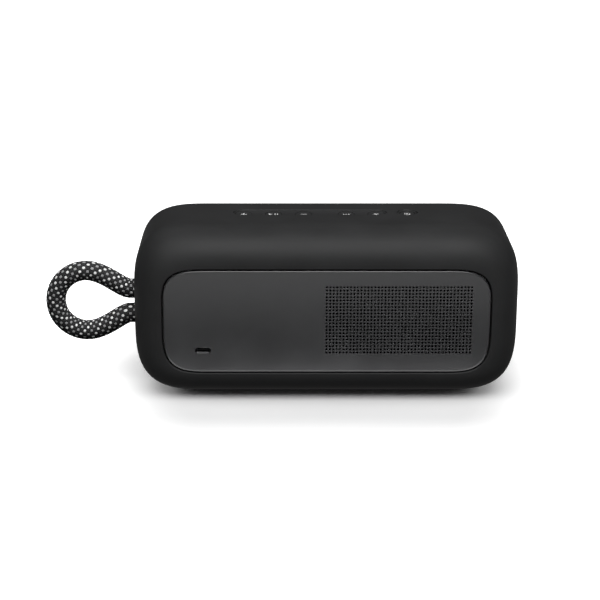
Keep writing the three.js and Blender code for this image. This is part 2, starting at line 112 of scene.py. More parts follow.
CORNER = 45 * MM  # reach of the body's corners
CORNER_POWER = 3.4  # of the superellipse that the corners follow
CORNER_STEPS = 24
LONG_STEPS, SHORT_STEPS = 40, 4  # mesh steps along the straight stretches
FRONT_EDGE = {"facing": -1, "depth": 19.8 * MM, "side": 6 * MM, "top": 18 * MM, "bottom": 14 * MM}
REAR_EDGE = {"facing": 1, "depth": 23.2 * MM, "side": 17.4 * MM, "top": 21.5 * MM, "bottom": 16.6 * MM}
SKIN_THICKNESS = 2.4 * MM
GAP = 0.3 * MM  # between neighbouring pieces

STRIP_KEYS = [
    "volume_up_button",
    "play_pause_button",
    "volume_down_button",
    "shortcut_button",
    "pairing_button",
]

ROPE_DIAMETER = 12 * MM
ROPE_RADIUS = ROPE_DIAMETER / 2
ROPE_MIDDLE_Z = 48.6 * MM

# Half of the loop's centreline, as in the CAD source: X and the height over its middle, in millimetres.
LOOP_HALF = [
    (118.6, 7.8),
    (121.6, 8.9),
    (126.2, 11.6),
    (131.1, 14.6),
    (136.2, 17.1),
    (141.3, 18.6),
    (146.4, 18.7),
    (151, 17.5),
    (155, 15.3),
    (158.3, 12.3),
    (160.8, 8.6),
    (162.3, 4.4),
]
LOOP_TIP = (162.8, 0)
BURIED_X = [97, 103, 108.5, 113.5]  # along the rope's straight ends inside the case


def plan_centre(low, high):
    """The middle of a box, seen from above."""
    return ((low.x + high.x) / 2, (low.y + high.y) / 2)


def rear_centre(low, high):
    """The middle of a box, seen from the rear."""
    return ((low.x + high.x) / 2, (low.z + high.z) / 2)


# ------------ camera

CAMERA_DISTANCE = 1.0464
CAMERA_ELEVATION = math.radians(17.9)
CAMERA_AIM = Vector((0.0257, 0, 0.05))
CAMERA_LENS, CAMERA_SENSOR = 103.68, 36
CAMERA_SHIFT = (0.0292, -0.0033)


def make_camera():
    data = bpy.data.cameras.new("camera")
    data.lens = CAMERA_LENS
    data.sensor_width = CAMERA_SENSOR
    data.shift_x, data.shift_y = CAMERA_SHIFT
    data.clip_end = 50
    camera = bpy.data.objects.new("camera", data)
    bpy.context.scene.collection.objects.link(camera)
    away = Vector((0, math.cos(CAMERA_ELEVATION), math.sin(CAMERA_ELEVATION)))
    camera.location = CAMERA_AIM + away * CAMERA_DISTANCE
    camera.rotation_euler = (math.pi / 2 - CAMERA_ELEVATION, 0, math.pi)
    bpy.context.scene.camera = camera


make_camera()

# ------------ mesh helpers


def new_object(name, vertices, faces, materials, face_materials=None):
    mesh = bpy.data.meshes.new(name)
    mesh.from_pydata([tuple(v) for v in vertices], [], [tuple(f) for f in faces])
    for material in materials:
        mesh.materials.append(material)
    if face_materials is not None:
        mesh.polygons.foreach_set("material_index", np.asarray(face_materials, np.int32))
    mesh.validate()
    made = bpy.data.objects.new(name, mesh)
    bpy.context.scene.collection.objects.link(made)
    return made


def smooth(piece, degrees=35, weighted=True):
    """Smooth faces, sharp where two of them meet at more than the given angle."""
    mesh = piece.data
    mesh.polygons.foreach_set("use_smooth", [True] * len(mesh.polygons))
    mesh.set_sharp_from_angle(angle=math.radians(degrees))
    if weighted:
        modifier = piece.modifiers.new("normals", "WEIGHTED_NORMAL")
        modifier.keep_sharp = True
    return piece


def outward(piece):
    """Turns every face of a closed mesh outwards."""
    work = bmesh.new()
    work.from_mesh(piece.data)
    bmesh.ops.remove_doubles(work, verts=work.verts, dist=1e-6)
    bmesh.ops.recalc_face_normals(work, faces=work.faces)
    work.to_mesh(piece.data)
    work.free()
    return piece


def joined(name, parts):
    """Several meshes as one object, with each one's materials kept."""
    bpy.ops.object.select_all(action="DESELECT")
    for part in parts:
        part.select_set(True)
    bpy.context.view_layer.objects.active = parts[0]
    bpy.ops.object.join()
    parts[0].name = name
    parts[0].data.name = name
    return parts[0]


def combine(piece, other, operation):
    """Applies a boolean with another object to a piece, and removes that object."""
    modifier = piece.modifiers.new("boolean", "BOOLEAN")
    modifier.operation = operation
    modifier.solver = "EXACT"
    modifier.object = other
    bpy.context.view_layer.objects.active = piece
    bpy.ops.object.modifier_apply(modifier=modifier.name)
    bpy.data.objects.remove(other)


def take_place(piece, body, node):
    """Puts a piece on a body, in place of a CAD node."""
    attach(piece, body)
    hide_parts(node)


def ring_faces(count, first, second):
    """Quads between two closed rings of vertices, given by the index of each one's first vertex."""
    following = [(i + 1) % count for i in range(count)]
    return [(first + i, first + j, second + j, second + i) for i, j in enumerate(following)]


def tube(rings):
    """Vertices and faces of rings joined one after another, the last to the first."""
    count = len(rings[0])
    vertices = [point for ring in rings for point in ring]
    faces = []
    for r in range(len(rings)):
        faces += ring_faces(count, r * count, (r + 1) % len(rings) * count)
    return vertices, faces


def rounding(radius, steps=5):
    """(inset, drop) pairs of a quarter round, from the side of a plate up to its face."""
    angles = [math.pi / 2 * i / steps for i in range(steps + 1)]
    return [(radius * (1 - math.cos(a)), radius * (1 - math.sin(a))) for a in angles]


# ------------ flat outlines


def stadium(centre, length, width, steps=12):
    """A function for the outline of a shape with two half-round ends, grown by a margin."""

    def outline(margin):
        radius = width / 2 + margin
        reach = (length - width) / 2
        points = []
        for side in (1, -1):
            for i in range(steps + 1):
                angle = -side * math.pi / 2 + math.pi * i / steps
                u = centre[0] + side * reach + radius * math.cos(angle)
                points.append((u, centre[1] + radius * math.sin(angle)))
        return points

    return outline


def circle(centre, radius, steps):
    """A function for the outline of a circle, grown by a margin."""

    def outline(margin):
        angles = [2 * math.pi * i / steps for i in range(steps)]
        grown = radius + margin
        return [(centre[0] + grown * math.cos(a), centre[1] + grown * math.sin(a)) for a in angles]

    return outline


def rounded_box(centre, width, height, radius, steps=6):
    """A function for the outline of a rectangle with round corners, grown by a margin."""

    def outline(margin=0.0):
        reach = radius + margin
        points = []
        for quarter, (su, sv) in enumerate([(1, 1), (-1, 1), (-1, -1), (1, -1)]):
            for i in range(steps + 1):
                angle = (quarter + i / steps) * math.pi / 2
                u = centre[0] + su * (width / 2 - radius) + reach * math.cos(angle)
                v = centre[1] + sv * (height / 2 - radius) + reach * math.sin(angle)
                points.append((u, v))
        return points

    return outline


def between(start, end, steps):
    """The points that cut a straight line into equal steps, without its ends."""
    shares = [i / steps for i in range(1, steps)]
    return [tuple(a + (b - a) * share for a, b in zip(start, end)) for share in shares]


def body_outline(side, top, bottom):
    """The body's outline in X and Z, pulled in by three amounts at its sides, top and bottom."""
    corner = []
    for i in range(CORNER_STEPS + 1):
        angle = math.pi / 2 * i / CORNER_STEPS
        c, s = max(math.cos(angle), 0.0), math.sin(angle)
        reach = (c**CORNER_POWER + s**CORNER_POWER) ** (-1 / CORNER_POWER)
        corner.append((reach * c, reach * s))
    runs = []
    for sx, sz in ((1, 1), (-1, 1), (-1, -1), (1, -1)):
        inset = top if sz > 0 else bottom
        reach_x, reach_z = CORNER - side, CORNER - inset
        run = []
        for along, up in corner if sx * sz > 0 else corner[::-1]:
            x = sx * (WIDTH / 2 - side - reach_x * (1 - along))
            z = MIDDLE_Z + sz * (HEIGHT / 2 - inset - reach_z * (1 - up))
            run.append((x, z))
        runs.append(run)
    points = []
    for run, following, steps in zip(runs, runs[1:] + runs[:1], (LONG_STEPS, SHORT_STEPS) * 2):
        points += run + between(run[-1], following[0], steps)
    return points


def opening_outline(edge):
    """A function for the outline of the opening that an edge of the body ends in, grown by a margin."""

    def outline(margin):
        return body_outline(edge["side"] - margin, edge["top"] - margin, edge["bottom"] - margin)

    return outline


# ------------ plates


def plate(name, place, outer, holes, thickness, edge, hole_edge, material, field=None):
    """A flat plate whose rim and holes have shaped edges.

    place turns (u, v, height) into a point, with height 0 on the face and the back at -thickness.
    edge and hole_edge are (inset, drop) pairs that run from the side up to the face.
    field is (face vertices, faces, loop, hole rings) of a perforated part of the plate.
    """
    vertices, faces = [], []

    def add_ring(points, height):
        first = len(vertices)
        vertices.extend(place(u, v, height) for u, v in points)
        return first, len(points)

    def rim(outline, pairs, sign):
        rings = [add_ring(outline(-sign * pairs[0][0]), -thickness)]
        rings += [add_ring(outline(-sign * inset), -drop) for inset, drop in pairs]
        for (a, count), (b, _) in zip(rings[:-1], rings[1:]):
            faces.extend(ring_faces(count, a, b))
        return rings[0], rings[-1]

    loops = [rim(outer, edge, 1)] + [rim(hole, hole_edge, -1) for hole in holes]
    if field:
        loops.append(add_field(vertices, faces, place, thickness, field))
    for level in (0, 1):
        runs = [list(range(loop[level][0], loop[level][0] + loop[level][1])) for loop in loops]
        fill(vertices, faces, runs)
    return outward(new_object(name, vertices, faces, [material]))


def fill(vertices, faces, runs):
    """Triangles between closed runs of vertices in one plane, the first one round the others."""
    flat = [index for run in runs for index in run]
    corners = tessellate_polygon([[Vector(vertices[index]) for index in run] for run in runs])
    faces.extend(tuple(flat[c] for c in corner) for corner in corners)


def hole_field(cells, corners, radius, sides):
    """Flat faces round a round hole in each cell, where corners are a cell's corners about its centre.

    Gives the points, the faces, the outside loop of points, and each hole's ring.
    """
    index, points, faces, rings, edges = {}, [], [], [], []

    def corner_index(u, v):
        key = (round(u * 1e7), round(v * 1e7))
        if key not in index:
            index[key] = len(points)
            points.append((u, v))
        return index[key]

    per_corner = sides // len(corners)
    start = math.atan2(corners[0][1], corners[0][0])
    for cu, cv in cells:
        outside = [corner_index(cu + du, cv + dv) for du, dv in corners]
        first = len(points)
        for s in range(sides):
            angle = start + 2 * math.pi * s / sides
            points.append((cu + radius * math.cos(angle), cv + radius * math.sin(angle)))
        rings.append((first, sides))
        for k, here in enumerate(outside):
            there = outside[(k + 1) % len(outside)]
            middle = k * per_corner
            for s in range(middle - per_corner // 2, middle + per_corner // 2):
                faces.append((here, first + (s + 1) % sides, first + s % sides))
            shared = first + (middle + per_corner // 2) % sides
            faces.append((here, there, shared))
            edges.append((here, there))
    known = set(edges)
    follow = {a: b for a, b in edges if (b, a) not in known}
    loop = [next(iter(follow))]
    while follow[loop[-1]] != loop[0]:
        loop.append(follow[loop[-1]])
    return points, faces, loop, rings


def add_field(vertices, faces, place, thickness, field):
    """Adds a perforated part at both faces of a plate, and gives the loop round it at each face."""
    points, flat_faces, loop, rings = field
    starts = []
    for height in (-thickness, 0):
        starts.append(len(vertices))
        vertices.extend(place(u, v, height) for u, v in points)
        faces.extend(tuple(starts[-1] + i for i in face) for face in flat_faces)
    for first, sides in rings:
        faces.extend(ring_faces(sides, starts[0] + first, starts[1] + first))
    copies = []
    for start in starts:
        at = len(vertices)
        vertices.extend(vertices[start + i] for i in loop)
        copies.append((at, len(loop)))
    return copies


def facing_rear(y):
    """A place function for a plate whose face looks along +Y at the given depth."""
    return lambda u, v, height: (u, y + height, v)


def facing_front(y):
    return lambda u, v, height: (u, y - height, v)


def facing_up(z):
    return lambda u, v, height: (u, v, z + height)


def facing_down(z):
    return lambda u, v, height: (u, v, z - height)


def facing_side(x):
    return lambda u, v, height: (x + height, u, v)


# ------------ materials


NOISE_LOW, NOISE_HIGH = 0.3, 0.7  # most of a noise texture's values lie between these


class Shader:
    """A principled material under construction, with object coordinates in metres."""

    def __init__(self, name, color, roughness, metallic=0.0, specular=0.5):
        self.material = bpy.data.materials.new(name)
        self.material.use_nodes = True
        self.tree = self.material.node_tree
        self.shader = self.tree.nodes["Principled BSDF"]
        self.color = color
        self.roughness = roughness
        self.set("Base Color", (*color, 1))
        self.set("Roughness", roughness)
        self.set("Metallic", metallic)
        self.set("Specular IOR Level", specular)
        self.coordinates = self.node("ShaderNodeTexCoord").outputs["Object"]

    def set(self, socket, value):
        self.shader.inputs[socket].default_value = value

    def node(self, kind, **properties):
        made = self.tree.nodes.new(kind)
        for key, value in properties.items():
            setattr(made, key, value)
        return made

    def link(self, source, target):
        self.tree.links.new(source, target)

    def noise(self, scale, detail, stretch=None):
        """Noise whose features are about 1 / scale metres across, stretched along the axes."""
        noise = self.node("ShaderNodeTexNoise")
        noise.inputs["Scale"].default_value = scale
        noise.inputs["Detail"].default_value = detail
        noise.inputs["Roughness"].default_value = 0.55
        source = self.coordinates
        if stretch:
            mapping = self.node("ShaderNodeMapping")
            mapping.inputs["Scale"].default_value = stretch
            self.link(source, mapping.inputs["Vector"])
            source = mapping.outputs["Vector"]
        self.link(source, noise.inputs["Vector"])
        return noise.outputs["Fac"]

    def vary_color(self, factor, darker, lighter):
        """Base colour between two multiples of the material's own colour."""
        ramp = self.node("ShaderNodeValToRGB")
        ramp.color_ramp.elements[0].position = NOISE_LOW
        ramp.color_ramp.elements[1].position = NOISE_HIGH
        for element, share in zip(ramp.color_ramp.elements, (darker, lighter)):
            element.color = (*(min(1.0, c * share) for c in self.color), 1)
        self.link(factor, ramp.inputs["Fac"])
        self.link(ramp.outputs["Color"], self.shader.inputs["Base Color"])

    def vary_roughness(self, factor, change):
        """Roughness up to a change below and above the material's own."""
        ranged = self.node("ShaderNodeMapRange")
        ranged.inputs["From Min"].default_value = NOISE_LOW
        ranged.inputs["From Max"].default_value = NOISE_HIGH
        ranged.inputs["To Min"].default_value = self.roughness - change
        ranged.inputs["To Max"].default_value = self.roughness + change
        self.link(factor, ranged.inputs["Value"])
        self.link(ranged.outputs["Result"], self.shader.inputs["Roughness"])

    def bump(self, height, strength, distance):
        bump = self.node("ShaderNodeBump")
        bump.inputs["Strength"].default_value = strength
        bump.inputs["Distance"].default_value = distance
        self.link(height, bump.inputs["Height"])
        self.link(bump.outputs["Normal"], self.shader.inputs["Normal"])


def grained(name, color, roughness, grain, strength, specular=0.5):
    """A moulded or coated surface: fine grain, slow colour mottle, and slightly uneven gloss.

    grain is the number of grains in a metre, and strength is how deep they look.
    """
    shader = Shader(name, color, roughness, specular=specular)
    slow = shader.noise(40, detail=3)
    shader.vary_color(slow, 0.88, 1.12)
    shader.vary_roughness(slow, 0.03)
    shader.bump(shader.noise(grain, detail=3), strength, 0.05 * MM)
    return shader.material


def brushed(name, color, roughness, stretch):
    """Bare metal with fine lines in it, packed closely along the axes that are stretched most."""
    shader = Shader(name, color, roughness, metallic=1.0)
    lines = shader.noise(900, detail=5, stretch=stretch)
    shader.vary_color(lines, 0.8, 1.15)
    shader.vary_roughness(lines, 0.08)
    shader.bump(lines, 0.25, 0.02 * MM)
    return shader.material


WAVE_LENGTH = 0.314  # of a wave texture at a scale of 1, in metres


def woven(name, color, pitch):
    """Acoustic cloth: two crossing sets of threads."""
    shader = Shader(name, color, 0.95, specular=0.2)
    shader.set("Sheen Weight", 0.3)
    shader.set("Sheen Roughness", 0.6)
    threads = []
    for direction in ("X", "Z"):
        wave = shader.node("ShaderNodeTexWave", wave_type="BANDS", bands_direction=direction)
        wave.inputs["Scale"].default_value = WAVE_LENGTH / pitch
        wave.inputs["Distortion"].default_value = 0.4
        shader.link(shader.coordinates, wave.inputs["Vector"])
        threads.append(wave.outputs["Fac"])
    crossed = shader.node("ShaderNodeMath", operation="MAXIMUM")
    shader.link(threads[0], crossed.inputs[0])
    shader.link(threads[1], crossed.inputs[1])
    shader.vary_color(crossed.outputs["Value"], 0.4, 1.5)
    shader.bump(crossed.outputs["Value"], 0.8, 0.15 * MM)
    return shader.material


def yarn(name, color, roughness, specular=0.4):
    """One strand colour of the braid, or the near-black painted shade of its crevices, with fine fibres
    in it.
    """
    shader = Shader(name, color, roughness, specular=specular)
    fibres = shader.noise(2600, detail=4)
    shader.vary_color(fibres, 0.65, 1.35)
    shader.bump(fibres, 0.6, 0.12 * MM)
    return shader.material


def circuit_board(name):
    """Solder mask with faint lighter tracks under it."""
    shader = Shader(name, (0.01, 0.065, 0.028), 0.35)
    tracks = shader.noise(220, detail=1, stretch=(1, 6, 1))
    shader.vary_color(tracks, 0.7, 1.6)
    shader.bump(tracks, 0.3, 0.04 * MM)
    return shader.material


SILICONE_BLACK = (0.018, 0.0182, 0.0186)

SKIN_SILICONE = grained("skin_silicone", SILICONE_BLACK, 0.58, 2600, 0.16, specular=0.18)
PANEL_PLASTIC = grained("panel_plastic", (0.022, 0.022, 0.023), 0.32, 1700, 0.12, specular=0.4)
CASE_PLASTIC = grained("case_plastic", (0.013, 0.013, 0.014), 0.6, 900, 0.2)
KEY_SILICONE = grained("key_silicone", SILICONE_BLACK, 0.55, 2600, 0.16, specular=0.18)
FOOT_RUBBER = grained("foot_rubber", (0.011, 0.011, 0.011), 0.8, 1400, 0.35)
SOFT_RUBBER = grained("soft_rubber", (0.01, 0.01, 0.01), 0.65, 1200, 0.2)
COATED_STEEL = grained("coated_steel", (0.02, 0.02, 0.021), 0.45, 3500, 0.3)
FERRITE = grained("ferrite", (0.03, 0.029, 0.028), 0.55, 600, 0.4)
CONE_PULP = grained("cone_pulp", (0.012, 0.012, 0.012), 0.85, 700, 0.6)
CELL_WRAP = grained("cell_wrap", (0.03, 0.13, 0.35), 0.3, 300, 0.15)
SYMBOL_PAINT = grained("symbol_paint", (0.62, 0.62, 0.62), 0.55, 3000, 0.1)
PLATED_STEEL = brushed("plated_steel", (0.4, 0.4, 0.41), 0.32, (1, 12, 1))
PORT_METAL = brushed("port_metal", (0.2, 0.2, 0.205), 0.35, (8, 1, 1))
ACOUSTIC_CLOTH = woven("acoustic_cloth", (0.006, 0.006, 0.0065), 0.55 * MM)
CIRCUIT = circuit_board("circuit_board")
YARN_BLACK = yarn("yarn_black", (0.014, 0.014, 0.015), 0.7)
# near-black painted shade for the low crevices of the braid, not a yarn of its own
CREVICE_PAINTED_SHADE = yarn("painted_crevice_shade", (0.001, 0.001, 0.001), 0.9, specular=0.1)
YARN_GREY = yarn("yarn_grey", (0.3, 0.3, 0.305), 0.7)
YARN_REFLECTIVE = yarn("yarn_reflective", (0.9, 0.9, 0.9), 0.5, specular=0.6)

SLOT_MATERIALS = {
    "skin": SKIN_SILICONE,
    "feet": FOOT_RUBBER,
    "case": CASE_PLASTIC,
    "grille": COATED_STEEL,
    "cloth": ACOUSTIC_CLOTH,
    "rear_panel": PANEL_PLASTIC,
    "port_metal": PORT_METAL,
    "seal": SOFT_RUBBER,
    "circuit_board": CIRCUIT,
    "keys": KEY_SILICONE,
    "cone": CONE_PULP,
    "magnet": FERRITE,
    "steel": PLATED_STEEL,
    "battery_wrap": CELL_WRAP,
    "rope": YARN_BLACK,
}


def finish_cad_nodes():
    """Gives each CAD node the material of its slot."""
    slots = {part["node"]: part["material_slot"] for part in frame["record"]["subparts"]}
    for name, node in frame["nodes"].items():
        node.data.materials.clear()
        node.data.materials.append(SLOT_MATERIALS[slots[name]])


finish_cad_nodes()

# ------------ carry loop

STRANDS = 16  # in each direction round the rope
CELL_PARTS = 5  # mesh steps across a strand
DOT_REACH = 0.5  # how far a coloured spot reaches from the middle of a crossing, in strands; beyond it the grey and reflective strands are coloured black, as painted shade along their edges
STRAND_PITCH = 2.19 * MM  # along the rope, from one strand to the next
STRAND_THICKNESS = 0.34 * MM
STRAND_WAVE = 0.26 * MM  # how far a strand rises over another
STRAND_CROWN = 1.9  # how round a strand's top is, where 2 is a half ellipse
CREVICE_HEIGHT = 0.36 * MM  # parts of the braid lower than this are coloured near-black: painted shade in its crevices
ROPE_YARNS_AND_SHADE = [YARN_BLACK, YARN_GREY, YARN_REFLECTIVE, CREVICE_PAINTED_SHADE]
BLACK, GREY, REFLECTIVE, PAINTED_SHADE = range(len(ROPE_YARNS_AND_SHADE))

ROPE_COLUMNS = STRANDS * CELL_PARTS  # vertices round the rope in one row
ROPE_SPACING = STRAND_PITCH / (2 * CELL_PARTS)  # from one row to the next
CURVE_STEPS = 24  # between two points of the route


def rope_route():
    """The rope's centreline from its upper buried end round the loop to its lower one."""
    upper = [(x, LOOP_HALF[0][1]) for x in BURIED_X] + LOOP_HALF
    points = upper + [LOOP_TIP] + [(x, -h) for x, h in reversed(upper)]
    return np.array([(x * MM, 0, ROPE_MIDDLE_Z + h * MM) for x, h in points])


def mixed(start, end, t, t_start, t_end):
    """The point at t on the line from start, at t_start, to end, at t_end."""
    return start * (t_end - t) / (t_end - t_start) + end * (t - t_start) / (t_end - t_start)


def smooth_line(points, spacing):
    """A centripetal Catmull-Rom curve through the points, resampled at an even spacing."""
    first = 2 * points[0] - points[1]
    last = 2 * points[-1] - points[-2]
    run = np.vstack([first, points, last])
    dense = []
    for p0, p1, p2, p3 in zip(run[:-3], run[1:-2], run[2:-1], run[3:]):
        knots = [0.0]
        for a, b in ((p0, p1), (p1, p2), (p2, p3)):
            knots.append(knots[-1] + math.sqrt(np.linalg.norm(b - a)))
        t0, t1, t2, t3 = knots
        for t in np.linspace(t1, t2, CURVE_STEPS, endpoint=False):
            before = mixed(mixed(p0, p1, t, t0, t1), mixed(p1, p2, t, t1, t2), t, t0, t2)
            after = mixed(mixed(p1, p2, t, t1, t2), mixed(p2, p3, t, t2, t3), t, t1, t3)
            dense.append(mixed(before, after, t, t1, t2))
    dense = np.array(dense + [points[-1]])
    steps = np.linalg.norm(np.diff(dense, axis=0), axis=1)
    along = np.concatenate([[0], np.cumsum(steps)])
    count = int(along[-1] / spacing)
    places = np.linspace(0, along[-1], count + 1)
    return np.stack([np.interp(places, along, dense[:, k]) for k in range(3)], axis=1), along[-1]


def strand_top(across, along, side):
    """Height of a strand near a crossing, where side is 1 for the upper strand and -1 for the lower."""
    round_top = STRAND_THICKNESS * np.sqrt(1 - (STRAND_CROWN * across) ** 2)
    return round_top + side * STRAND_WAVE * np.cos(math.pi * along)


def strand_over(a, b):
    """Whether the strand of the first direction is the upper one at strand coordinates a and b."""
    return (np.floor(a) + np.floor(b)) % 2 == 0


def braid_height(a, b):
    """How far the braid stands out at strand coordinates a and b."""
    across_a, across_b = a % 1 - 0.5, b % 1 - 0.5
    side = np.where(strand_over(a, b), 1.0, -1.0)
    return np.maximum(strand_top(across_a, across_b, side), strand_top(across_b, across_a, -side))


def strand_coordinates(column, row):
    """A place in half columns and rows, counted in strands of each direction."""
    return (column + row) / (2 * CELL_PARTS), (column - row) / (2 * CELL_PARTS)


def braid_vertices(line):
    """Rows of vertices round the rope's centreline, every other row half a column further round."""
    tangent = np.gradient(line, axis=0)
    tangent /= np.linalg.norm(tangent, axis=1)[:, None]
    across = np.array([0.0, 1.0, 0.0])
    out = np.cross(across, tangent)
    base = ROPE_RADIUS - STRAND_THICKNESS - STRAND_WAVE
    rows = []
    for r in range(len(line)):
        column = np.arange(ROPE_COLUMNS) * 2 + r % 2
        angle = 2 * math.pi * column / (2 * ROPE_COLUMNS)
        radius = (base + braid_height(*strand_coordinates(column, r)))[:, None]
        direction = np.cos(angle)[:, None] * out[r] + np.sin(angle)[:, None] * across
        rows.append(line[r] + radius * direction)
    return np.concatenate(rows)


def braid_faces(row_count):
    """Diamond faces between the rows, and the yarn that each one shows, or painted shade where it lies
    low in a crevice.
    """
    k = np.arange(ROPE_COLUMNS)
    faces, yarns_and_shade = [], []
    for r in range(row_count - 2):
        shift = r % 2
        left = (r + 1) * ROPE_COLUMNS + (k - 1 + shift) % ROPE_COLUMNS
        right = (r + 1) * ROPE_COLUMNS + (k + shift) % ROPE_COLUMNS
        faces.append(np.stack([r * ROPE_COLUMNS + k, right, (r + 2) * ROPE_COLUMNS + k, left], axis=1))
        a, b = strand_coordinates(k * 2 + shift, r + 1)
        dot = strand_over(a, b) & (np.hypot(a % 1 - 0.5, b % 1 - 0.5) < DOT_REACH)
        strand = np.floor(a).astype(int) % 4
        spotted = np.where(strand == 0, REFLECTIVE, np.where(strand == 2, GREY, BLACK))
        # the grey and reflective strands are black outside their spots: painted shade along their edges
        shown = np.where(dot, spotted, BLACK)
        # faces low in a crevice are coloured near-black: painted shade
        yarns_and_shade.append(np.where(braid_height(a, b) < CREVICE_HEIGHT, PAINTED_SHADE, shown))
    return [tuple(face) for face in np.concatenate(faces)], list(np.concatenate(yarns_and_shade))


def braid_end(near, far, centre, turn):
    """Faces that close one end: gaps between its row and the next one, then the end itself."""
    gaps, end = [], []
    for k in range(ROPE_COLUMNS):
        here = near * ROPE_COLUMNS + k
        following = near * ROPE_COLUMNS + (k + 1) % ROPE_COLUMNS
        other = far * ROPE_COLUMNS + (k + near % 2) % ROPE_COLUMNS
        gaps.append((here, other, following)[::turn])
        end.append((centre, here, following)[::turn])
    return gaps + end


def braided_rope(name, route):
    """A braided rope as one closed mesh with a material for each yarn and one for painted shade in its
    crevices, its centreline and its length.
    """
    line, length = smooth_line(route, ROPE_SPACING)
    last = len(line) - 1
    vertices = braid_vertices(line)
    faces, yarns_and_shade = braid_faces(len(line))
    for near, far, turn in ((0, 1, 1), (last, last - 1, -1)):
        faces += braid_end(near, far, len(vertices), turn)
        vertices = np.vstack([vertices, line[near]])
        yarns_and_shade += [BLACK] * (2 * ROPE_COLUMNS)
    return new_object(name, vertices, faces, ROPE_YARNS_AND_SHADE, yarns_and_shade), line, length


def make_carry_loop():
    rope, line, length = braided_rope("braided_carry_loop", rope_route())
    smooth(rope, degrees=60, weighted=False)
    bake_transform(rope)
    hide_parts("carry_loop", "rope_end_upper", "rope_end_lower")


make_carry_loop()

# ------------ skin and feet

LIP = 0.6 * MM  # rounding of the skin where a hole goes through it
RECESS_DEPTH = 6 * MM  # how far the plugs that cut the skin reach in
ROPE_HOLE_DEPTH = 9 * MM
PLUG_END = 2 * MM  # how far they stand out
FOOT_EDGE = 0.5 * MM


def flat_ring(y, side, top, bottom):
    return [(x, y, z) for x, z in body_outline(side, top, bottom)]


def edge_rings(edge, under, lip, steps):
    """Rings over a rounded edge of the body, from its straight middle to the opening in the skin."""
    reach = HALF_DEPTH - under
    start = HALF_DEPTH - edge["depth"]
    sides = ("side", "top", "bottom")
    rings = []
    for i in range(steps + 1):
        angle = math.pi / 2 * i / steps
        share = 1 - math.cos(angle)
        y = edge["facing"] * (start + (reach - start) * math.sin(angle))
        rings.append(flat_ring(y, *(under + (edge[side] - lip - under) * share for side in sides)))
    if lip:
        for inset, drop in rounding(lip)[::-1][1:]:
            y = edge["facing"] * (reach - drop)
            rings.append(flat_ring(y, *(edge[side] - inset for side in sides)))
    return rings


def closed_loft(name, rings, materials=()):
    """A solid through closed rings, flat at the first and the last."""
    count = len(rings[0])
    vertices = [point for ring in rings for point in ring]
    faces = []
    for r in range(len(rings) - 1):
        faces += ring_faces(count, r * count, (r + 1) * count)
    last = (len(rings) - 1) * count
    faces.append(tuple(range(count)))
    faces.append(tuple(range(last, last + count)))
    return outward(new_object(name, vertices, faces, materials))


def prism(name, outline, low, high):
    """An upright solid between two heights."""
    return closed_loft(name, [[(u, v, z) for u, v in outline] for z in (low, high)])


def flared_cutter(place, outline, depth):
    """A plug that cuts a hole whose mouth is rounded over."""
    pairs = [(0.0, depth)] + rounding(LIP, 6)[:-1]
    rings = [[place(u, v, -drop) for u, v in outline(inset)] for inset, drop in pairs]
    rings.append([place(u, v, PLUG_END) for u, v in outline(LIP)])
    return closed_loft("plug", rings)


STRIP_LOW, STRIP_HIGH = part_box("button_strip")
STRIP_CENTRE = plan_centre(STRIP_LOW, STRIP_HIGH)
STRIP_LENGTH = STRIP_HIGH.x - STRIP_LOW.x
STRIP_WIDTH = STRIP_HIGH.y - STRIP_LOW.y
RING_LOW, RING_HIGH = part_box("power_button_ring")
POWER_CENTRE = ((RING_LOW.x + RING_HIGH.x) / 2, STRIP_CENTRE[1])
POWER_RING = (RING_HIGH.x - RING_LOW.x) / 2


def skin_plugs():
    """Solids that cut the skin for the keys, the rope and the feet."""
    pill = stadium(STRIP_CENTRE, STRIP_LENGTH + 2 * GAP, STRIP_WIDTH + 2 * GAP)
    plugs = [
        flared_cutter(facing_up(TOP_Z), pill, RECESS_DEPTH),
        flared_cutter(facing_up(TOP_Z), circle(POWER_CENTRE, POWER_RING + GAP, 48), RECESS_DEPTH),
    ]
    for side in (-1, 1):
        hole = circle((0, ROPE_MIDDLE_Z + side * LOOP_HALF[0][1] * MM), ROPE_RADIUS + GAP, 48)
        plugs.append(flared_cutter(facing_side(SKIN_HIGH.x), hole, ROPE_HOLE_DEPTH))
    for foot in ("foot_left", "foot_right"):
        low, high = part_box(foot)
        plugs.append(prism("plug", foot_outline(low, high)(GAP), -PLUG_END, high.z + GAP))
    return plugs


def make_skin():
    outer = edge_rings(FRONT_EDGE, 0, LIP, 16)[::-1] + edge_rings(REAR_EDGE, 0, LIP, 20)
    inner_front, inner_rear = (edge_rings(edge, SKIN_THICKNESS, 0, 8) for edge in (FRONT_EDGE, REAR_EDGE))
    inner = inner_front[::-1] + inner_rear
    vertices, faces = tube(outer + inner[::-1])
    skin = outward(new_object("silicone_skin", vertices, faces, [SKIN_SILICONE]))
    combine(skin, joined("plugs", skin_plugs()), "DIFFERENCE")
    take_place(smooth(outward(skin), 40), "case", "skin_sleeve")


def foot_outline(low, high):
    """A foot's outline, with ends that are all but half round."""
    width = high.x - low.x
    return rounded_box(plan_centre(low, high), width, high.y - low.y, width / 2 - 0.01 * MM, steps=8)


def make_feet():
    for foot in ("foot_left", "foot_right"):
        low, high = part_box(foot)
        piece = plate(
            foot.replace("foot", "rubber_foot"),
            facing_down(low.z),
            foot_outline(low, high),
            [],
            high.z - low.z,
            rounding(FOOT_EDGE),
            [],
            FOOT_RUBBER,
        )
        take_place(smooth(piece), "case", foot)


make_skin()
make_feet()

# ------------ rear panel and front grille

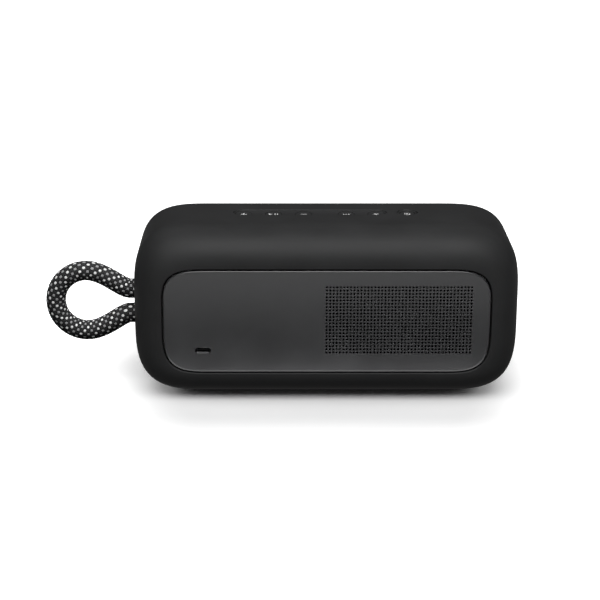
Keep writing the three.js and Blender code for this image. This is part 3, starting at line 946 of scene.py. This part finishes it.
HOLE_PITCH = 2.0 * MM
HOLE_RADIUS = 0.68 * MM
HOLE_COLUMNS, HOLE_ROWS = 43, 21
HOLE_FIELD_CENTRE = (-42 * MM, 50.4 * MM)
PANEL_EDGE = 1.1 * MM
SLOT_EDGE = 0.2 * MM

GRILLE_PITCH = 2.6 * MM
GRILLE_HOLE_RADIUS = 0.85 * MM
GRILLE_EDGE = 0.8 * MM
GRILLE_MARGIN = 5.5 * MM  # from the grille's edge to the nearest hole's middle


def centred(count, pitch, middle):
    """Evenly spaced places about a middle."""
    return [middle + (i - (count - 1) / 2) * pitch for i in range(count)]


def make_rear_panel():
    low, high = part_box("rear_panel")
    opening = opening_outline(REAR_EDGE)
    gap = REAR_EDGE["side"] - (low.x - SKIN_LOW.x)
    usb_low, usb_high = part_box("usb_c_shell")
    usb_size = usb_high - usb_low
    slot = stadium(rear_centre(usb_low, usb_high), usb_size.x + 2 * GAP, usb_size.z + 2 * GAP)
    cells = [
        (x, z)
        for x in centred(HOLE_COLUMNS, HOLE_PITCH, HOLE_FIELD_CENTRE[0])
        for z in centred(HOLE_ROWS, HOLE_PITCH, HOLE_FIELD_CENTRE[1])
    ]
    half = HOLE_PITCH / 2
    square = [(half, half), (-half, half), (-half, -half), (half, -half)]
    field = hole_field(cells, square, HOLE_RADIUS, 16)
    panel = plate(
        "perforated_rear_panel",
        facing_rear(high.y),
        lambda margin: opening(margin + gap),
        [slot],
        high.y - low.y,
        rounding(PANEL_EDGE, 7),
        rounding(SLOT_EDGE, 3),
        PANEL_PLASTIC,
        field,
    )
    take_place(smooth(panel, 50), "case", "rear_panel")


def inside(point, outline):
    """Even-odd test of a point in a closed outline."""
    u, v = point
    found = False
    for (u0, v0), (u1, v1) in zip(outline, outline[1:] + outline[:1]):
        if (v0 > v) != (v1 > v) and u < u0 + (v - v0) / (v1 - v0) * (u1 - u0):
            found = not found
    return found


def make_grille():
    low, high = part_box("front_grille")
    opening = opening_outline(FRONT_EDGE)
    gap = FRONT_EDGE["side"] - (low.x - SKIN_LOW.x)
    middle_z = (low.z + high.z) / 2
    row_pitch = GRILLE_PITCH * math.sqrt(3) / 2
    half_rows = int((high.z - low.z) / 2 / row_pitch)
    half_columns = int((high.x - low.x) / 2 / GRILLE_PITCH)
    border = opening(gap - GRILLE_MARGIN)
    cells = []
    for row in range(-half_rows, half_rows + 1):
        for column in range(-half_columns, half_columns + 1):
            cell = ((column + row % 2 / 2) * GRILLE_PITCH, middle_z + row * row_pitch)
            if inside(cell, border):
                cells.append(cell)
    reach = GRILLE_PITCH / math.sqrt(3)
    angles = [math.radians(30 + 60 * k) for k in range(6)]
    hexagon = [(reach * math.cos(a), reach * math.sin(a)) for a in angles]
    grille = plate(
        "perforated_front_grille",
        facing_front(low.y),
        lambda margin: opening(margin + gap),
        [],
        high.y - low.y,
        rounding(GRILLE_EDGE, 6),
        [],
        COATED_STEEL,
        hole_field(cells, hexagon, GRILLE_HOLE_RADIUS, 12),
    )
    take_place(smooth(grille, 50), "case", "front_grille")


make_rear_panel()
make_grille()

# ------------ charging port

PORT_WALL = 0.3 * MM
PORT_EDGE = 0.12 * MM


def make_port():
    low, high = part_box("usb_c_shell")
    centre = rear_centre(low, high)
    width, height = high.x - low.x, high.z - low.z
    shell = plate(
        "charging_port_shell",
        facing_rear(high.y),
        stadium(centre, width, height),
        [stadium(centre, width - 2 * PORT_WALL, height - 2 * PORT_WALL)],
        high.y - low.y,
        rounding(PORT_EDGE, 3),
        rounding(PORT_EDGE, 3),
        PORT_METAL,
    )
    take_place(smooth(shell), "case", "usb_c_shell")


make_port()

# ------------ keys

DISH_RIM_Z = 102.1 * MM
DISH_DEPTH = 1.1 * MM
DISH_POWER = 2.6  # how suddenly a dish's floor turns up into its rim
DISH_BOTTOM_Z = STRIP_LOW.z
DISH_EDGE = 0.2 * MM
DISH_RINGS = 14
DISH_REACH = 0.98  # the innermost ring stops just short of the middle line
KEY_CORNER = 3.6 * MM
KEY_EDGE = 0.14 * MM
CAP_BOTTOM_Z = DISH_BOTTOM_Z + 0.4 * MM
STEM_SIDE, STEM_CORNER = 3 * MM, 0.4 * MM
POWER_STEM = 1.6 * MM
TURNED_STEPS = 64
SLIVER = 0.004 * MM  # edges shorter than this are merged after a cut


def dish_z(share):
    """Height of a dish at a share of the way from its middle to its rim."""
    return DISH_RIM_Z - DISH_DEPTH * (1 - share**DISH_POWER)


def dished(name, outline, half):
    """A solid whose top is hollowed towards its middle line, as a finger rest is."""
    rings = [[(u, v, DISH_BOTTOM_Z) for u, v in outline(0.0)]]
    for inset, drop in rounding(DISH_EDGE, 3):
        rings.append([(u, v, DISH_RIM_Z - drop) for u, v in outline(-inset)])
    for i in range(1, DISH_RINGS + 1):
        share = 1 - DISH_REACH * i / DISH_RINGS
        margin = -(1 - share) * half - DISH_EDGE * share
        rings.append([(u, v, dish_z(share)) for u, v in outline(margin)])
    return closed_loft(name, rings, [KEY_SILICONE])


def dish_height(u, v):
    """Height of the dished top of the key strip, or of the power key, over a point."""
    if u > RING_HIGH.x:
        half = STRIP_WIDTH / 2
        reach = (STRIP_LENGTH - STRIP_WIDTH) / 2
        past = max(0.0, abs(u - STRIP_CENTRE[0]) - reach)
    else:
        half = POWER_RING
        past = abs(u - POWER_CENTRE[0])
    return dish_z(min(1.0, math.hypot(past, v - STRIP_CENTRE[1]) / half))


def softened(piece):
    """Rounds the sharp edges that a cut left, and merges the slivers that this leaves."""
    modifier = piece.modifiers.new("edges", "BEVEL")
    modifier.width = KEY_EDGE
    modifier.segments = 2
    modifier.limit_method = "ANGLE"
    modifier.angle_limit = math.radians(50)
    bpy.context.view_layer.objects.active = piece
    bpy.ops.object.modifier_apply(modifier=modifier.name)
    work = bmesh.new()
    work.from_mesh(piece.data)
    bmesh.ops.remove_doubles(work, verts=work.verts, dist=SLIVER)
    bmesh.ops.dissolve_degenerate(work, edges=work.edges, dist=SLIVER)
    work.to_mesh(piece.data)
    work.free()
    return smooth(piece, 40)


def turned(name, profile, centre):
    """A closed profile of (radius, z) points turned about an upright axis."""
    steps = TURNED_STEPS
    vertices, rows = [], []
    for radius, z in profile:
        rows.append(len(vertices))
        for i in range(steps if radius > 0 else 1):
            angle = 2 * math.pi * i / steps
            u, v = centre[0] + radius * math.cos(angle), centre[1] + radius * math.sin(angle)
            vertices.append((u, v, z))
    faces = []
    for i, here in enumerate(rows):
        following = (i + 1) % len(profile)
        there = rows[following]
        if profile[i][0] > 0 and profile[following][0] > 0:
            faces += ring_faces(steps, here, there)
        elif profile[i][0] > 0:
            faces += [(here + k, here + (k + 1) % steps, there) for k in range(steps)]
        elif profile[following][0] > 0:
            faces += [(here, there + (k + 1) % steps, there + k) for k in range(steps)]
    return outward(new_object(name, vertices, faces, [KEY_SILICONE]))


def power_dish(radius):
    """A point on the dish that the power key and its ring share."""
    return (radius, dish_height(POWER_CENTRE[0] + radius, POWER_CENTRE[1]))


def power_key_cap():
    low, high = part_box("power_button")
    reach = (high.x - low.x) / 2
    profile = [(0, low.z), (POWER_STEM, low.z), (POWER_STEM, CAP_BOTTOM_Z), (reach, CAP_BOTTOM_Z)]
    profile.append((reach, power_dish(reach)[1] - KEY_EDGE))
    shares = (1, 0.9, 0.8, 0.65, 0.5, 0.35, 0.2, 0)
    profile += [power_dish((reach - KEY_EDGE) * share) for share in shares]
    return turned("power_key_cap", profile, POWER_CENTRE)


def power_key_ring():
    low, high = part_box("power_button")
    hole = (high.x - low.x) / 2 + GAP
    slope = POWER_RING - hole - KEY_EDGE
    profile = [(hole, DISH_BOTTOM_Z), (POWER_RING, DISH_BOTTOM_Z)]
    profile += [(POWER_RING - inset, DISH_RIM_Z - drop) for inset, drop in rounding(DISH_EDGE, 3)]
    profile += [power_dish(hole + KEY_EDGE + slope * share) for share in (0.6, 0.3, 0)]
    profile.append((hole, power_dish(hole)[1] - KEY_EDGE))
    return turned("power_key_ring", profile, POWER_CENTRE)


def key_cap(key, pill):
    """One key of the strip: the strip's shape inside the key's outline, on a square stem."""
    low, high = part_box(key)
    blank = dished(key.replace("_button", "_key_cap"), pill, STRIP_WIDTH / 2)
    combine(blank, prism("outline", key_outline(low, high)(), CAP_BOTTOM_Z, TOP_Z + MM), "INTERSECT")
    square = rounded_box(plan_centre(low, high), STEM_SIDE, STEM_SIDE, STEM_CORNER)
    combine(blank, prism("stem", square(), low.z, CAP_BOTTOM_Z + 0.1 * MM), "UNION")
    return softened(blank)


def key_outline(low, high):
    return rounded_box(plan_centre(low, high), high.x - low.x, high.y - low.y, KEY_CORNER, steps=8)


def make_keys():
    take_place(smooth(power_key_cap(), 40), "power_button", "power_button")
    take_place(smooth(power_key_ring(), 40), "case", "power_button_ring")
    pill = stadium(STRIP_CENTRE, STRIP_LENGTH, STRIP_WIDTH, steps=20)
    strip = dished("dished_key_strip", pill, STRIP_WIDTH / 2)
    for key in STRIP_KEYS:
        hole = key_outline(*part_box(key))(GAP)
        combine(strip, prism("hole", hole, DISH_BOTTOM_Z - MM, TOP_Z + MM), "DIFFERENCE")
        take_place(key_cap(key, pill), key, key)
    take_place(softened(strip), "case", "button_strip")


make_keys()

# ------------ key symbols

SYMBOL_RAISE = 0.05 * MM
SYMBOL_THICKNESS = 0.16 * MM
SYMBOL_LINE = 0.62 * MM


def polygon(points, pieces=6):
    """A closed outline through corners, with extra points along its sides, that ignores its margin."""
    dense = []
    for (u0, v0), (u1, v1) in zip(points, points[1:] + points[:1]):
        dense += [(u0 + (u1 - u0) * i / pieces, v0 + (v1 - v0) * i / pieces) for i in range(pieces)]
    return lambda margin: dense


def bar(u, v, length, width):
    half_u, half_v = length / 2, width / 2
    signs = ((-1, -1), (1, -1), (1, 1), (-1, 1))
    return polygon([(u + su * half_u, v + sv * half_v) for su, sv in signs])


def arc(u, v, radius, width, start, end, steps=20):
    """A band along a circle, with its angles in degrees, 90 pointing away from the rear panel."""
    angles = [math.radians(start + (end - start) * i / steps) for i in range(steps + 1)]
    outer, inner = (
        [(u + reach * math.cos(a), v - reach * math.sin(a)) for a in angles]
        for reach in (radius + width / 2, radius - width / 2)
    )
    return lambda margin: outer + inner[::-1]


def cross(u, v, reach, width):
    half = width / 2
    quarter = [(reach, -half), (reach, half), (half, half)]
    corners = []
    for turn in range(4):
        c, s = (1, 0, -1, 0)[turn], (0, 1, 0, -1)[turn]
        corners += [(u + c * a - s * b, v + s * a + c * b) for a, b in quarter]
    return polygon(corners, 3)


def symbol_shapes(key, u, v):
    """Outlines of a key's symbol, upright as seen from the rear, where right is -X and up is -Y."""
    line = SYMBOL_LINE
    if key == "volume_up_button":
        return [cross(u, v, 1.8 * MM, line)]
    if key == "volume_down_button":
        return [bar(u, v, 3.6 * MM, line * 0.8)]
    if key == "play_pause_button":
        triangle = [(u + 2.9 * MM, v - 1.4 * MM), (u + 0.6 * MM, v), (u + 2.9 * MM, v + 1.4 * MM)]
        return [polygon(triangle)] + [bar(u - x * MM, v, line, 2.6 * MM) for x in (0.9, 2.3)]
    if key == "shortcut_button":
        return [circle((u + x * MM, v), 0.58 * MM, 16) for x in (-1.6, 0, 1.6)]
    if key == "pairing_button":
        arcs = [arc(u, v + 1.1 * MM, r * MM, line * 0.8, 45, 135) for r in (1.2, 2.2)]
        return [circle((u, v + 1.1 * MM), 0.45 * MM, 16)] + arcs
    return [arc(u, v, 1.6 * MM, line * 0.9, 125, 415, 40), bar(u, v - 1.2 * MM, line * 0.9, 1.9 * MM)]


def raised(u, v, height):
    """A place function for a plate that follows the dished tops of the keys."""
    return (u, v, dish_height(u, v) + SYMBOL_RAISE + height)


def make_symbols():
    for key in [*STRIP_KEYS, "power_button"]:
        low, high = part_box(key)
        square_edge = [(0.0, 0.0)]
        parts = [
            plate("part", raised, shape, [], SYMBOL_THICKNESS, square_edge, [], SYMBOL_PAINT)
            for shape in symbol_shapes(key, *plan_centre(low, high))
        ]
        symbol = joined(key.replace("_button", "_symbol"), parts)
        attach(symbol, key)


make_symbols()

# ------------ floor, backdrop and lights

FLOOR_SIZE = 16
BACKDROP_RADIUS = 9
GLOW_FOOTPRINT = (0.07, 0.055)  # half the width and depth of the floor that doesn't glow, where the painted contact shadow lies
GLOW_START, GLOW_END = 0.01, 0.09  # how far outside that rectangle the glow starts and is full


def plain_stage(name, color, emission):
    """A matt material that may glow white."""
    material = bpy.data.materials.new(name)
    material.use_nodes = True
    shader = material.node_tree.nodes["Principled BSDF"]
    shader.inputs["Base Color"].default_value = (*color, 1)
    shader.inputs["Roughness"].default_value = 0.9
    shader.inputs["Specular IOR Level"].default_value = 0.1
    shader.inputs["Emission Color"].default_value = (1, 1, 1, 1)
    shader.inputs["Emission Strength"].default_value = emission
    return material


def whiter_with_distance(material):
    """Makes the floor glow outside a rectangle about the origin, so that it is white further off: painted
    light that covers the cast shadows there, and whose fade towards the object is a painted contact
    shadow.
    """
    tree = material.node_tree
    coordinates = tree.nodes.new("ShaderNodeTexCoord")
    place = coordinates.outputs["Object"]
    zero = (0, 0, 0)
    steps = [("ABSOLUTE", zero), ("SUBTRACT", (*GLOW_FOOTPRINT, 0)), ("MAXIMUM", zero), ("LENGTH", zero)]
    for operation, operand in steps:
        step = tree.nodes.new("ShaderNodeVectorMath")
        step.operation = operation
        step.inputs[1].default_value = operand
        tree.links.new(place, step.inputs[0])
        place = step.outputs["Value" if operation == "LENGTH" else "Vector"]
    ranged = tree.nodes.new("ShaderNodeMapRange")
    ranged.interpolation_type = "SMOOTHSTEP"
    ranged.inputs["From Min"].default_value = GLOW_START
    ranged.inputs["From Max"].default_value = GLOW_END
    tree.links.new(place, ranged.inputs["Value"])
    tree.links.new(ranged.outputs["Result"], tree.nodes["Principled BSDF"].inputs["Emission Strength"])


def make_stage():
    half = FLOOR_SIZE / 2
    corners = [(-half, -half, 0), (half, -half, 0), (half, half, 0), (-half, half, 0)]
    white = plain_stage("floor_white", (0.9, 0.9, 0.9), 0.0)
    # painted light and painted contact shadow on the floor, by distance from the object
    whiter_with_distance(white)
    floor = new_object("floor", corners, [(0, 1, 2, 3)], [white])
    floor.visible_diffuse = False
    floor.visible_glossy = False
    bpy.ops.mesh.primitive_uv_sphere_add(segments=48, ring_count=24, radius=BACKDROP_RADIUS)
    backdrop = bpy.context.object
    backdrop.name = "backdrop"
    backdrop.data.materials.append(plain_stage("backdrop_white", (0, 0, 0), 1.0))
    backdrop.visible_diffuse = False
    backdrop.visible_glossy = False
    backdrop.visible_shadow = False
    backdrop.visible_transmission = False
    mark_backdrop(floor, backdrop)


def collection_of(name, pieces):
    group = bpy.data.collections.new(name)
    for piece in pieces:
        group.objects.link(piece)
    return group


def area_light(name, location, aim, size, power, receivers):
    """A soft light that no camera sees, and that lights one collection alone."""
    data = bpy.data.lights.new(name, "AREA")
    data.shape = "RECTANGLE"
    data.size, data.size_y = size
    data.energy = power
    light = bpy.data.objects.new(name, data)
    bpy.context.scene.collection.objects.link(light)
    light.location = location
    light.rotation_euler = (Vector(aim) - Vector(location)).to_track_quat("-Z", "Y").to_euler()
    light.visible_camera = False
    light.light_linking.receiver_collection = receivers
    return data


def light_floor(floor):
    area_light("floor_wash", (0, 0.55, 1.45), (0, 0.25, 0), (2.4, 1.5), 25, floor)
    for side in (-1, 1):
        area_light("floor_side", (side * 1.0, 0.1, 0.4), (side * 0.1, 0, 0), (0.8, 0.5), 4, floor)


def light_speaker(speaker, grille):
    middle = (0, 0, 0.05)
    area_light("key", (0, 0.82, 1.53), middle, (1.0, 1.3), 41, speaker)
    area_light("front", (0, -1.1, 1.2), middle, (2.0, 0.7), 2, speaker)
    area_light("grille_light", (0.5, -1.4, 0.7), middle, (1.6, 0.8), 20, grille)


def light_from_below(skin, panel):
    """Stands for the light that a white floor throws back, weaker right under the object."""
    for name, y, size, power in (
        ("bounce_all", 0, (3.0, 3.0), 5),
        ("bounce_back", 0.86, (2.4, 1.6), 2.2),
        ("bounce_front", -0.86, (2.4, 1.6), 2.2),
    ):
        bounce = area_light(name, (0, y, 0.001), (0, y, 1), size, power, skin)
        bounce.specular_factor = 0
    area_light("floor_card", (0, 0.5, 0.01), (0, 0.5, 1), (2.0, 0.6), 7.1, panel)
    strip = area_light("rim_strip", (0, 0.062, 0.002), (0, 0.062, 1), (0.24, 0.03), 0.09, panel)
    strip.diffuse_factor = 0


def make_lights():
    objects = bpy.data.objects
    speaker = collection_of("lit_speaker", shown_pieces())
    panel = collection_of("lit_panel", [objects["perforated_rear_panel"]])
    skin = collection_of("lit_skin", [objects["silicone_skin"]])
    grille = collection_of("lit_grille", [objects["perforated_front_grille"]])
    floor = collection_of("lit_floor", [objects["floor"]])
    light_floor(floor)
    light_speaker(speaker, grille)
    light_from_below(skin, panel)


def make_world():
    """A faint even light from all round."""
    world = bpy.data.worlds.new("studio")
    world.use_nodes = True
    background = world.node_tree.nodes["Background"]
    background.inputs["Color"].default_value = (1, 1, 1, 1)
    background.inputs["Strength"].default_value = 0.025
    bpy.context.scene.world = world
    bpy.context.scene.view_settings.view_transform = "Standard"


make_stage()
make_lights()
make_world()
